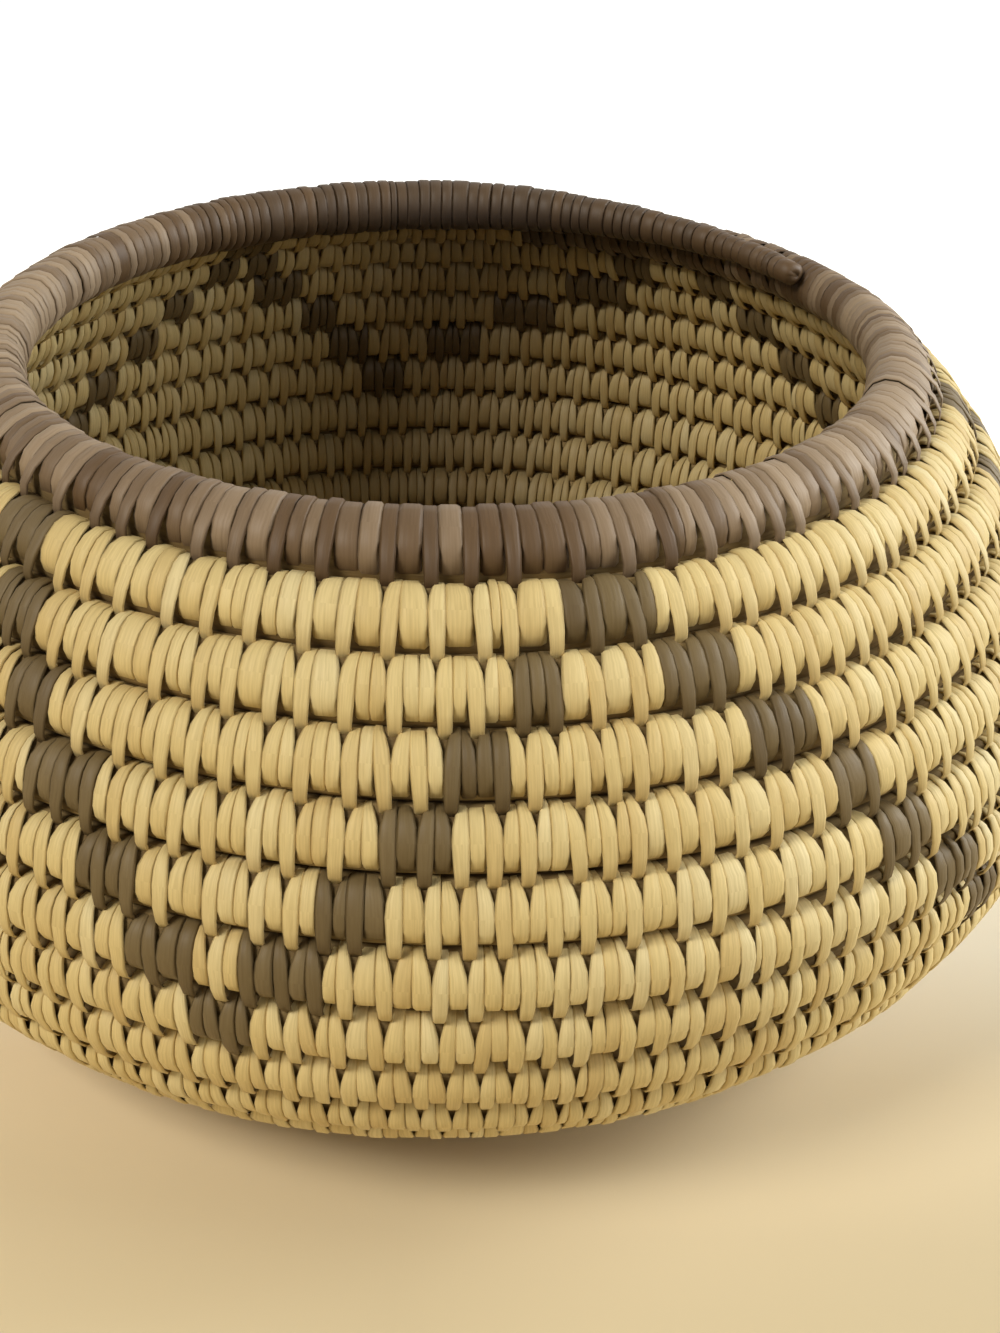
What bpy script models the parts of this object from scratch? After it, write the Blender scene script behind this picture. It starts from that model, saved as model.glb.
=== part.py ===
"""Coiled basketry olla.

One bundle of grass winds in a spiral from a plaited start knot in the middle of the base, up the
wall to the mouth. The splints sewn over each turn of the bundle are an eight-sided sleeve, one
for each turn, and the sleeve of the last turn is the dark rim. Metres, +Z up, base on z = 0.
"""

import math

import bpy
import numpy as np

MM = 0.001

# Section of the coil. The rows' own width follows from the wall's length and the number of turns
ROW_GAP = 0.3 * MM
SEWING_THICKNESS = 0.6 * MM
BUNDLE_CLEARANCE = 0.3 * MM
RIM_WIDTH = 7.3 * MM
RIM_TIP_WIDTH = 3.2 * MM

# Outline of the coil's centre line, from the flat base over the belly to the mouth. Its heights are
# above the centre line of the base
BASE_RADIUS = 37.5 * MM
BELLY_RADIUS = 74.5 * MM
BELLY_RISE = 32.57 * MM
MOUTH_RADIUS = 50.8 * MM
RIM_RISE = 68.77 * MM
MOUTH_LEAN = math.radians(13)
BASE_FULLNESS = 0.20
LOWER_BELLY_FULLNESS = 0.95
UPPER_BELLY_FULLNESS = 0.28
MOUTH_FULLNESS = 0.54

# Start and end of the coil
KNOT_RADIUS = 6.0 * MM
KNOT_EDGE_ROUND = 0.5 * MM
COIL_END_AZIMUTH = math.radians(30)
RIM_SWELL_TURN = 1 / 8
RIM_TAPER_TURN = 1 / 5

# Counts
COIL_TURNS = 19.6
POINTS_PER_TURN = 20
SIX_SIDES = 1
EIGHT_SIDES = 2
PROFILE_STEPS = 200

# Geometry of an eight-sided section and of the chords that the coil is made of. In the flat base the
# section stands on one of its flats, and where the wall has risen its corners face the next turns
CORNER_ANGLE = math.radians(22.5)
RISEN_SLOPE = math.radians(30)
CHORD_SHRINK = math.cos(math.pi / POINTS_PER_TURN)

PALE_SPLINT = ("pale_splint", (0.70, 0.55, 0.28, 1.0), 0.62)
DARK_SPLINT = ("dark_splint", (0.13, 0.082, 0.052, 1.0), 0.48)
GRASS = ("grass", (0.40, 0.30, 0.13, 1.0), 0.75)
KNOT_SPLINT = ("knot_splint", (0.64, 0.50, 0.26, 1.0), 0.65)


def clear_scene():
    """Remove what the scene holds."""
    for thing in list(bpy.data.objects):
        bpy.data.objects.remove(thing, do_unlink=True)


def material(finish):
    """Make the Principled material of one finish: name, colour and roughness."""
    name, colour, roughness = finish
    result = bpy.data.materials.new(name)
    result.use_nodes = True
    shader = result.node_tree.nodes["Principled BSDF"]
    shader.inputs["Base Color"].default_value = colour
    shader.inputs["Roughness"].default_value = roughness
    shader.inputs["Metallic"].default_value = 0.0
    result.diffuse_color = colour
    return result


def bezier(start, start_handle, end_handle, end):
    """Points of a cubic curve in the (radius, height) plane."""
    q = np.linspace(0, 1, PROFILE_STEPS)[:, None]
    ends = (1 - q) ** 3 * np.array(start) + q ** 3 * np.array(end)
    handles = 3 * (1 - q) ** 2 * q * np.array(start_handle) + 3 * (1 - q) * q ** 2 * np.array(end_handle)
    return ends + handles


def wall_outline():
    """The coil's centre line in section: flat base, lower belly, upper belly, a short run past the mouth."""
    base = [(radius, 0) for radius in np.linspace(0, BASE_RADIUS, PROFILE_STEPS)]
    base_run = BELLY_RADIUS - BASE_RADIUS
    lower = bezier(
        (BASE_RADIUS, 0),
        (BASE_RADIUS + BASE_FULLNESS * base_run, 0),
        (BELLY_RADIUS, BELLY_RISE * (1 - LOWER_BELLY_FULLNESS)),
        (BELLY_RADIUS, BELLY_RISE),
    )
    mouth_run = MOUTH_FULLNESS * (BELLY_RADIUS - MOUTH_RADIUS)
    lean = np.array((-math.cos(MOUTH_LEAN), math.sin(MOUTH_LEAN)))
    mouth = np.array((MOUTH_RADIUS, RIM_RISE))
    upper = bezier(
        (BELLY_RADIUS, BELLY_RISE),
        (BELLY_RADIUS, BELLY_RISE + UPPER_BELLY_FULLNESS * (RIM_RISE - BELLY_RISE)),
        mouth - mouth_run * lean,
        mouth,
    )
    past_mouth = mouth + RIM_WIDTH * lean
    return np.vstack((base, lower[1:], upper[1:], past_mouth))


OUTLINE = wall_outline()
STEPS = np.diff(OUTLINE, axis=0)
STEP_LENGTHS = np.hypot(STEPS[:, 0], STEPS[:, 1])
LENGTHS = np.concatenate(((0,), np.cumsum(STEP_LENGTHS)))
STEP_MIDDLES = (LENGTHS[:-1] + LENGTHS[1:]) / 2
STEP_SLOPES = np.unwrap(np.arctan2(STEPS[:, 1], STEPS[:, 0]))

# The turns share the wall's length between the knot and the middle of the rim, which is wider
POINT_COUNT = round(COIL_TURNS * POINTS_PER_TURN)
TURNS = POINT_COUNT / POINTS_PER_TURN
PITCH = (LENGTHS[-2] - RIM_WIDTH / 2 - KNOT_RADIUS - ROW_GAP) / TURNS
ROW_WIDTH = PITCH - ROW_GAP
BASE_HEIGHT = ROW_WIDTH / 2 * math.cos(CORNER_ANGLE)
START_LENGTH = KNOT_RADIUS + ROW_GAP + ROW_WIDTH / 2


def smooth_step(share):
    """Ease from 0 to 1, with a level start and end."""
    share = min(max(share, 0.0), 1.0)
    return share * share * (3 - 2 * share)


def half_width(turn):
    """Half the sewn row's width: even on all turns, wider on the rim, thinned out at the coil's end."""
    swell = smooth_step((turn - (TURNS - 1)) / RIM_SWELL_TURN)
    taper = smooth_step((turn - (TURNS - RIM_TAPER_TURN)) / RIM_TAPER_TURN)
    return (ROW_WIDTH + (RIM_WIDTH - ROW_WIDTH) * swell - (RIM_WIDTH - RIM_TIP_WIDTH) * taper) / 2


def wall_length(turn):
    """Way along the wall's section from the base's centre to the coil at this turn."""
    return START_LENGTH + PITCH * turn + half_width(turn) - ROW_WIDTH / 2


def wall_slope(turn):
    """Angle of the wall from outward at this turn: 0 on the base, a right angle at the belly."""
    return float(np.interp(wall_length(turn), STEP_MIDDLES, STEP_SLOPES))


def section_tilt(turn):
    """Angle of the section's corners at this turn: half a side past the wall's slope in the base."""
    slope = wall_slope(turn)
    return slope + CORNER_ANGLE * (1 - smooth_step(slope / RISEN_SLOPE))


def resting_height(turn):
    """Height of the coil's centre at which the section's lowest corner touches the floor."""
    past_flat = section_tilt(turn) % (2 * CORNER_ANGLE)
    return half_width(turn) * math.cos(min(past_flat, 2 * CORNER_ANGLE - past_flat))


def coil_point(index):
    """Centre of the coil at one of its points. Point 0 lies half a step before the coil's start."""
    turn = (index - 0.5) / POINTS_PER_TURN
    length = wall_length(turn)
    radius = np.interp(length, LENGTHS, OUTLINE[:, 0])
    height = max(BASE_HEIGHT + np.interp(length, LENGTHS, OUTLINE[:, 1]), resting_height(turn))
    azimuth = COIL_END_AZIMUTH + 2 * math.pi * (TURNS - turn)
    return np.array((radius * math.cos(azimuth), radius * math.sin(azimuth), height))


COIL = np.array([coil_point(index) for index in range(POINT_COUNT + 2)])


def chord(index):
    """Middle and direction of the coil's straight piece between a point and the next."""
    along = COIL[index + 1] - COIL[index]
    return (COIL[index] + COIL[index + 1]) / 2, along / np.linalg.norm(along)


def stretch(first, last, end_gap):
    """Points, half widths and section tilts of the coil from one chord's middle to another's."""
    start, _ = chord(first)
    end, along = chord(last)
    inner = range(first + 1, last + 1)
    points = np.vstack((start, COIL[first + 1:last + 1], end - along * end_gap))
    turns = [first / POINTS_PER_TURN]
    turns += [(index - 0.5) / POINTS_PER_TURN for index in inner]
    turns += [last / POINTS_PER_TURN]
    widths = np.array([half_width(turn) for turn in turns])
    widths[[0, -1]] *= CHORD_SHRINK
    tilts = [section_tilt(turn) for turn in turns]
    return points, widths, tilts


def tube(name, points, radii, tilts, sides, capped, home):
    """A faceted tube along the coil: how far its corners reach, and how far they are turned."""
    curve = bpy.data.curves.new(name, "CURVE")
    curve.dimensions = "3D"
    curve.twist_mode = "Z_UP"
    curve.bevel_depth = 1.0
    curve.bevel_resolution = sides
    curve.use_fill_caps = capped
    spline = curve.splines.new("POLY")
    spline.points.add(len(points) - 1)
    for point, place, radius, tilt in zip(spline.points, points, radii, tilts):
        point.co = (*place, 1.0)
        point.radius = radius
        point.tilt = tilt
    thing = bpy.data.objects.new(name, curve)
    home.objects.link(thing)
    return thing


def sewn_row(name, first, last, finish, home):
    """The sewing of one turn: an open eight-sided tube given its wall inwards."""
    points, widths, tilts = stretch(first, last, ROW_GAP)
    row = tube(name, points, widths, tilts, EIGHT_SIDES, False, home)
    wall = row.modifiers.new("sewing", "SOLIDIFY")
    wall.thickness = SEWING_THICKNESS
    wall.offset = -1.0
    wall.use_even_offset = True
    row.data.materials.append(material(finish))
    return row


def grass_bundle(home):
    """The foundation: one unbroken tube inside all the sewing, from the knot to the coil's end."""
    points, widths, tilts = stretch(0, POINT_COUNT, ROW_GAP)
    radii = (widths - SEWING_THICKNESS - BUNDLE_CLEARANCE) * math.cos(CORNER_ANGLE)
    bundle = tube("grass_bundle", points, radii, tilts, SIX_SIDES, True, home)
    bundle.data.materials.append(material(GRASS))
    apart = np.linalg.norm(points[:, None] - points[None], axis=2) - radii[:, None] - radii[None]
    steps_between = np.abs(np.arange(len(points))[:, None] - np.arange(len(points))[None])
    least = apart[steps_between > POINTS_PER_TURN // 2].min()
    print(f"rows {ROW_WIDTH / MM:.3f} mm wide; grass bundle: {TURNS:.2f} turns, gap to itself {least / MM:.2f} mm")
    return bundle


def cross(first, second):
    """How far two flat directions are from parallel: the area of the leaning square that they span."""
    return first[0] * second[1] - first[1] * second[0]


def outward(place, along):
    """The flat direction square to the coil that points away from the basket's axis."""
    side = np.array((-along[1], along[0], 0))
    return side * math.copysign(1.0, float(side @ place))


def start_knot(home):
    """The plaited start: a flat piece that fills the first turn, with a step where the coil begins."""
    reach = ROW_WIDTH / 2 + ROW_GAP
    start, along = chord(0)
    foot = start - along * ROW_GAP - outward(start, along) * reach * CHORD_SHRINK
    above, above_along = chord(POINTS_PER_TURN)
    above_edge = above - outward(above, above_along) * reach * CHORD_SHRINK
    rise = cross(above_edge - foot, above_along) / cross(outward(start, along), above_along)
    ring = COIL[1:POINTS_PER_TURN + 1]
    radii = np.hypot(ring[:, 0], ring[:, 1])[:, None]
    outline = [foot, *(ring * (1 - reach / radii)), foot + outward(start, along) * rise]
    curve = bpy.data.curves.new("start_knot", "CURVE")
    curve.dimensions = "2D"
    curve.fill_mode = "BOTH"
    curve.extrude = BASE_HEIGHT
    spline = curve.splines.new("POLY")
    spline.points.add(len(outline) - 1)
    spline.use_cyclic_u = True
    for point, place in zip(spline.points, outline):
        point.co = (place[0], place[1], 0.0, 1.0)
    knot = bpy.data.objects.new("start_knot", curve)
    knot.location = (0, 0, BASE_HEIGHT)
    home.objects.link(knot)
    weld = knot.modifiers.new("weld", "WELD")
    weld.merge_threshold = 0.00001
    edge = knot.modifiers.new("edge", "BEVEL")
    edge.width = KNOT_EDGE_ROUND
    edge.segments = 2
    edge.limit_method = "ANGLE"
    edge.angle_limit = math.radians(60)
    knot.data.materials.append(material(KNOT_SPLINT))
    return knot


def row_limits():
    """First and last point of each row's sewing, from the knot to the rim."""
    marks = list(range(POINT_COUNT, 0, -POINTS_PER_TURN))
    if marks[-1] < POINTS_PER_TURN // 2:
        marks.pop()
    marks.append(0)
    marks.reverse()
    return list(zip(marks[:-1], marks[1:]))


def build():
    """Make every piece of the basket."""
    clear_scene()
    home = bpy.data.collections.new("basketry_olla")
    bpy.context.scene.collection.children.link(home)
    start_knot(home)
    grass_bundle(home)
    limits = row_limits()
    for number, (first, last) in enumerate(limits[:-1], start=1):
        sewn_row(f"stitch_row_{number:02d}", first, last, PALE_SPLINT, home)
    sewn_row("rim_wrap", *limits[-1], DARK_SPLINT, home)


build()
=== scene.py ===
"""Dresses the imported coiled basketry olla: grass coil, splint sewing, dark zigzag, dark rim, plaited start.

Every surface is worked out from the path of the coil. A point near the coil is given by the turn that
it belongs to and three ways from the coil's centre: out of the wall, up along the wall, and sideways.
"""

import bisect
import logging
import math
from dataclasses import dataclass, field
from enum import Enum, IntEnum

import bpy
import numpy as np
from mathutils import Matrix, Vector


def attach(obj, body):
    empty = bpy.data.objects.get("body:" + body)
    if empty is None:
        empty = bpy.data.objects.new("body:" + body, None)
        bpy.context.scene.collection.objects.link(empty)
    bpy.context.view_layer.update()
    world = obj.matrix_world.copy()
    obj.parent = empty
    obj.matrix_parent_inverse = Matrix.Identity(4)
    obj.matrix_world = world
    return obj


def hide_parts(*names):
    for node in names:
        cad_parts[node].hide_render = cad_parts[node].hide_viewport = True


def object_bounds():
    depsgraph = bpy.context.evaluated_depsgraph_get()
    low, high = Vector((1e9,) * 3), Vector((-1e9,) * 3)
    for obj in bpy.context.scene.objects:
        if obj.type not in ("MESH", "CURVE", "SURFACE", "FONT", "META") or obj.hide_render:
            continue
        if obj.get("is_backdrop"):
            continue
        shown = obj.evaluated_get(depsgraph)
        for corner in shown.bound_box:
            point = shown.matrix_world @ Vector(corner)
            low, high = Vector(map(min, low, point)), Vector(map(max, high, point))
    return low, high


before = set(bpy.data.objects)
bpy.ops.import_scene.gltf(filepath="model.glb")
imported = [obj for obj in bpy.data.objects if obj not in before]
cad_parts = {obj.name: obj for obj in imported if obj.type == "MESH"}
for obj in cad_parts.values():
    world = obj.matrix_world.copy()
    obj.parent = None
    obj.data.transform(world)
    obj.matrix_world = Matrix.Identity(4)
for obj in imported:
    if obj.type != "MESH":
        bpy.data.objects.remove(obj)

CAD_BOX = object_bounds()
BODY = "root"
MM = 0.001
Colour = tuple[float, float, float, float]
Socket = bpy.types.NodeSocket
WHITE: Colour = (1.0, 1.0, 1.0, 1.0)
# Across a splint lie four points: an edge, two shoulders, an edge. The first edge looks to the coil's end.
EDGES = np.array((1.0, 0.0, 0.0, 1.0))
SHOULDERS = np.array((0.0, 1.0, 1.0, 0.0))
END_EDGE = np.array((1.0, 0.0, 0.0, 0.0))

log = logging.getLogger("basketry_olla")


class Slot(Enum):
    """The record's material slots."""

    PALE = "pale_splint"
    DARK = "dark_splint"
    GRASS = "grass"
    PLAIT = "knot_splint"


class Dye(IntEnum):
    """The splint that a stitch is made of."""

    PALE = 0
    ZIGZAG = 1
    RIM = 2


class ShaderGraph:
    """The nodes of one material."""

    def __init__(self, name: str) -> None:
        """Start a material that holds a Principled shader.

        Args:
            name: The material's name.
        """
        self.material = bpy.data.materials.new(name)
        self.material.use_nodes = True
        self.tree = self.material.node_tree
        self.shader = self.tree.nodes["Principled BSDF"]

    def feed(self, socket: Socket, value: object) -> None:
        """Link a socket to another node's output, or set its value.

        Args:
            socket: The input that is fed.
            value: An output, a number or a tuple.
        """
        if isinstance(value, Socket):
            self.tree.links.new(value, socket)
        else:
            socket.default_value = value

    def node(
        self, kind: str, inputs: dict[str | int, object] | None = None, **settings: object
    ) -> bpy.types.Node:
        """Add a node.

        Args:
            kind: The node's type.
            inputs: What feeds its inputs, by name or number.
            settings: Its other properties.

        Returns:
            The new node.
        """
        made = self.tree.nodes.new(kind)
        for key, value in settings.items():
            setattr(made, key, value)
        for key, value in (inputs or {}).items():
            self.feed(made.inputs[key], value)
        return made

    def mix(self, share: object, first: object, second: object, blend: str = "MIX") -> Socket:
        """Mix two colours.

        Args:
            share: How much of the second colour is used.
            first: The first colour or output.
            second: The second colour or output.
            blend: The way of mixing.

        Returns:
            The mixed colour's output.
        """
        inputs = {0: share, 6: first, 7: second}
        return self.node("ShaderNodeMix", inputs, data_type="RGBA", blend_type=blend).outputs[2]

    def ramp(self, share: Socket, stops: list[tuple[float, Colour]]) -> Socket:
        """Read a colour from a row of stops.

        Args:
            share: Where on the row, from 0 to 1.
            stops: Places and colours.

        Returns:
            The colour's output.
        """
        made = self.node("ShaderNodeValToRGB", {0: share})
        row = made.color_ramp.elements
        for _ in stops[2:]:
            row.new(0.5)
        for element, (place, colour) in zip(row, stops):
            element.position = place
            element.color = colour
        return made.outputs[0]

    def span(self, share: Socket, low: float, high: float) -> Socket:
        """Stretch a share from 0 to 1 over low to high."""
        return self.node("ShaderNodeMapRange", {0: share, 3: low, 4: high}).outputs[0]

    def between(self, value: Socket, start: float, end: float, high: float = 1.0) -> Socket:
        """Tell how far a value has gone from start to end.

        Args:
            value: The output that is read.
            start: Where the result is 0.
            end: Where it is high.
            high: The largest result.

        Returns:
            The result's output, held between 0 and high.
        """
        return self.node("ShaderNodeMapRange", {0: value, 1: start, 2: end, 4: high}).outputs[0]

    def times(self, first: Socket, second: Socket) -> Socket:
        """Multiply two values."""
        return self.node("ShaderNodeMath", {0: first, 1: second}, operation="MULTIPLY").outputs[0]

    def noise(self, vector: Socket, scale: float, detail: float = 3.0) -> Socket:
        """Cloudy noise of a number of blots per unit."""
        inputs = {"Vector": vector, "Scale": scale, "Detail": detail}
        return self.node("ShaderNodeTexNoise", inputs).outputs[0]

    def attribute(self, name: str) -> Socket:
        """Value of one of the mesh's attributes."""
        return self.node("ShaderNodeAttribute", attribute_name=name).outputs["Fac"]

    def fibre(self, across: float, along: float) -> Socket:
        """Make long streaks on the UV map splint, whose unit is the millimetre.

        Args:
            across: Streaks per millimetre across the splint or the bundle.
            along: Streaks per millimetre along it.

        Returns:
            The streaks' output.
        """
        place = self.node("ShaderNodeUVMap", uv_map="splint").outputs[0]
        stretched = self.node("ShaderNodeMapping", {"Vector": place, "Scale": (across, along, 1.0)})
        return self.noise(stretched.outputs[0], 1.0)

    def emboss(self, height: Socket, strength: float, distance: float) -> None:
        """Raise the surface's shading by a height.

        Args:
            height: The output that is read.
            strength: The bump's strength.
            distance: How far a height of 1 stands out.
        """
        bump = self.node("ShaderNodeBump", {"Height": height, "Strength": strength, "Distance": distance})
        self.feed(self.shader.inputs["Normal"], bump.outputs[0])

    def coat(self, colour: Socket, roughness: object, specular: float) -> bpy.types.Material:
        """Give the shader its main values.

        Args:
            colour: The base colour.
            roughness: The roughness, a number or an output.
            specular: The specular level.

        Returns:
            The finished material.
        """
        self.feed(self.shader.inputs["Base Color"], colour)
        self.feed(self.shader.inputs["Roughness"], roughness)
        self.feed(self.shader.inputs["Specular IOR Level"], specular)
        return self.material


@dataclass(frozen=True)
class SplintFinish:
    """A scraped strip of leaf or pod: satin, streaked along its length, each stitch of its own tone."""

    name: str
    deep: Colour
    middle: Colour
    light: Colour
    stain_and_shade: Colour
    # Painted shade: the next colour darkens the inside of the basket, the one after it the creases and row
    # feet.
    inside_shaded: Colour
    groove_shade_colour: Colour
    roughness: float
    specular: float
    stain_share: float = 0.35
    inside_shade_share: float = 0.75
    groove_shade_share: float = 0.75
    fibre_across: float = 5.0
    fibre_along: float = 0.22
    blot_scale: float = 110.0
    streak_start: float = 0.3
    streak_end: float = 0.65
    streak: Colour = (0.80, 0.78, 0.74, 1.0)
    fibre_height: float = 0.07 * MM
    bump_strength: float = 0.6
    rougher: float = 0.1
    smoother: float = 0.05

    def material(self) -> bpy.types.Material:
        """Build the finish from three attributes and the UV map splint: a random tone, painted shade in the
        creases and at the row feet, and painted shade inside the basket.

        Returns:
            The material.
        """
        graph = ShaderGraph(self.name)
        fibre = graph.fibre(self.fibre_across, self.fibre_along)
        blots = graph.noise(graph.node("ShaderNodeTexCoord").outputs["Object"], self.blot_scale)
        tones = [(0.0, self.deep), (0.5, self.middle), (1.0, self.light)]
        body = graph.ramp(graph.attribute("tone"), tones)
        streak = graph.ramp(fibre, [(self.streak_start, self.streak), (self.streak_end, WHITE)])
        streaked = graph.mix(1.0, body, streak, "MULTIPLY")
        stained = graph.mix(graph.span(blots, 0.0, self.stain_share), streaked, self.stain_and_shade)
        # Painted shade inside the basket.
        inside_shaded = graph.mix(graph.span(graph.attribute("age"), 0.0, self.inside_shade_share), stained, self.inside_shaded)
        # Painted shade in the creases: along the splints' edges and at the foot of each row.
        groove_shaded = graph.mix(graph.span(graph.attribute("groove_shade"), 0.0, self.groove_shade_share), inside_shaded, self.groove_shade_colour)
        graph.emboss(fibre, self.bump_strength, self.fibre_height)
        rough = graph.span(fibre, self.roughness + self.rougher, self.roughness - self.smoother)
        return graph.coat(groove_shaded, rough, self.specular)


@dataclass(frozen=True)
class GrassFinish:
    """Dry grass stems laid side by side: matte, with painted brown shade in the hollows between stems."""

    name: str = "dry_grass_stems"
    deep: Colour = (0.14, 0.088, 0.034, 1.0)
    light: Colour = (0.42, 0.30, 0.125, 1.0)
    roughness: float = 0.8
    specular: float = 0.2
    fibre_across: float = 4.0
    fibre_along: float = 0.3
    fibre_height: float = 0.1 * MM
    bump_strength: float = 0.7

    def material(self) -> bpy.types.Material:
        """Build the finish from the UV map splint and an attribute of painted shade in the hollows between
        stems.

        Returns:
            The material.
        """
        graph = ShaderGraph(self.name)
        fibre = graph.fibre(self.fibre_across, self.fibre_along)
        body = graph.mix(fibre, self.light, self.deep)
        graph.emboss(fibre, self.bump_strength, self.fibre_height)
        # Painted shade in the hollows between the stems.
        groove_shaded = graph.mix(graph.attribute("groove_shade"), body, self.deep)
        return graph.coat(groove_shaded, self.roughness, self.specular)


@dataclass(frozen=True)
class PaperFinish:
    """The sheet that the basket stands on.

    It is warm tan near the front and white towards the back; the darker tan just in front of the basket is
    painted shade. Near the front it is darker at the right, also painted shade.
    """

    name: str = "warm_paper"
    near: float = -0.10
    far: float = 0.40
    # Tan near the front, white at the back; the darker tan just in front of the basket is painted shade.
    colours: tuple[tuple[float, Colour], ...] = (
        (0.04, (0.90, 0.74, 0.46, 1.0)),
        (0.11, (0.92, 0.77, 0.52, 1.0)),
        (0.16, (0.95, 0.87, 0.70, 1.0)),
        (0.45, (0.96, 0.92, 0.82, 1.0)),
        (0.90, (1.0, 1.0, 0.98, 1.0)),
    )
    left: float = -0.06
    right: float = 0.0
    # Painted shade: near the front, the colour at the right is multiplied by this.
    right_shade: float = 0.74
    shade_end: float = 0.2
    shade_full: float = 0.06
    glow: float = 0.6
    glow_start: float = 0.08
    glow_full: float = 0.55
    roughness: float = 0.9

    def material(self) -> bpy.types.Material:
        """Build the finish: colour along Y, painted shade along X, and a far end that shines to the camera.

        Returns:
            The material.
        """
        graph = ShaderGraph(self.name)
        place = graph.node("ShaderNodeTexCoord").outputs["Object"]
        split = graph.node("ShaderNodeSeparateXYZ", {0: place})
        share = graph.between(split.outputs["Y"], self.near, self.far)
        across = graph.between(split.outputs["X"], self.left, self.right)
        # Painted shade near the front on the right.
        right_shade_share = graph.times(across, graph.between(share, self.shade_end, self.shade_full))
        shade = (self.right_shade, self.right_shade, self.right_shade, 1.0)
        colour = graph.mix(right_shade_share, graph.ramp(share, list(self.colours)), shade, "MULTIPLY")
        seen = graph.node("ShaderNodeLightPath").outputs["Is Camera Ray"]
        shown = graph.times(seen, graph.between(share, self.glow_start, self.glow_full, self.glow))
        graph.feed(graph.shader.inputs["Emission Color"], colour)
        graph.feed(graph.shader.inputs["Emission Strength"], shown)
        return graph.coat(colour, self.roughness, 0.0)


PALE = SplintFinish(
    "pale_splint_satin",
    deep=(0.64, 0.47, 0.19, 1.0),
    middle=(0.76, 0.60, 0.27, 1.0),
    light=(0.84, 0.72, 0.40, 1.0),
    stain_and_shade=(0.62, 0.43, 0.18, 1.0),
    inside_shaded=(0.115, 0.066, 0.026, 1.0),
    groove_shade_colour=(0.34, 0.22, 0.080, 1.0),
    roughness=0.55,
    specular=0.3,
)
DARK = SplintFinish(
    "dark_splint_satin",
    deep=(0.120, 0.082, 0.036, 1.0),
    middle=(0.175, 0.124, 0.054, 1.0),
    light=(0.235, 0.172, 0.082, 1.0),
    stain_and_shade=(0.16, 0.105, 0.045, 1.0),
    inside_shaded=(0.055, 0.032, 0.014, 1.0),
    groove_shade_colour=(0.060, 0.035, 0.013, 1.0),
    roughness=0.5,
    specular=0.25,
)
RIM = SplintFinish(
    "rim_splint_satin",
    deep=(0.066, 0.040, 0.019, 1.0),
    middle=(0.110, 0.062, 0.025, 1.0),
    # The light end is reached mostly on the rim's sides, whose tone carries a painted sheen.
    light=(0.42, 0.31, 0.20, 1.0),
    stain_and_shade=(0.150, 0.090, 0.042, 1.0),
    inside_shaded=(0.036, 0.026, 0.022, 1.0),
    groove_shade_colour=(0.045, 0.024, 0.009, 1.0),
    roughness=0.5,
    specular=0.3,
)
PLAIT = SplintFinish(
    "plaited_splint_satin",
    deep=(0.46, 0.33, 0.14, 1.0),
    middle=(0.64, 0.48, 0.23, 1.0),
    light=(0.74, 0.60, 0.33, 1.0),
    stain_and_shade=(0.55, 0.37, 0.16, 1.0),
    inside_shaded=(0.26, 0.165, 0.060, 1.0),
    groove_shade_colour=(0.20, 0.12, 0.04, 1.0),
    roughness=0.6,
    specular=0.25,
)


@dataclass(frozen=True)
class Surface:
    """Points, faces and the values that the finishes read, ready for a mesh."""

    points: np.ndarray
    quads: np.ndarray
    uv: np.ndarray
    tone: np.ndarray
    groove_shade: np.ndarray
    age: np.ndarray

    @staticmethod
    def join(parts: list["Surface"]) -> "Surface":
        """Put several surfaces together.

        Args:
            parts: The surfaces.

        Returns:
            One surface with all their points and faces.
        """
        starts = np.cumsum([0] + [len(part.points) for part in parts[:-1]])
        quads = np.concatenate([part.quads + start for part, start in zip(parts, starts)])
        others = ("points", "uv", "tone", "groove_shade", "age")
        joined = {key: np.concatenate([getattr(part, key) for part in parts]) for key in others}
        return Surface(quads=quads, **joined)

    def piece(self, name: str, material: bpy.types.Material, slot: Slot, nodes: list[str]) -> None:
        """Make the Blender object and tie it to the frame.

        Args:
            name: The piece's name.
            material: Its finish.
            slot: The record's slot that the finish stands for. It is not used.
            nodes: The CAD nodes that it stands for.
        """
        mesh = bpy.data.meshes.new(name)
        mesh.vertices.add(len(self.points))
        mesh.vertices.foreach_set("co", self.points.astype(np.float32).ravel())
        mesh.loops.add(self.quads.size)
        mesh.loops.foreach_set("vertex_index", self.quads.astype(np.int32).ravel())
        mesh.polygons.add(len(self.quads))
        mesh.polygons.foreach_set("loop_start", np.arange(0, self.quads.size, 4, dtype=np.int32))
        mesh.update(calc_edges=True)
        mesh.shade_smooth()
        mesh.uv_layers.new(name="splint").data.foreach_set("uv", self.uv.astype(np.float32).ravel())
        for key, values in (("tone", self.tone), ("groove_shade", self.groove_shade), ("age", self.age)):
            mesh.attributes.new(key, "FLOAT", "POINT").data.foreach_set("value", values.astype(np.float32))
        mesh.materials.append(material)
        thing = bpy.data.objects.new(name, mesh)
        bpy.context.scene.collection.objects.link(thing)
        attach(thing, BODY)
        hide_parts(*nodes)
        log.info("%-16s %6d faces for %s", name, len(self.quads), ", ".join(nodes))


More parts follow.
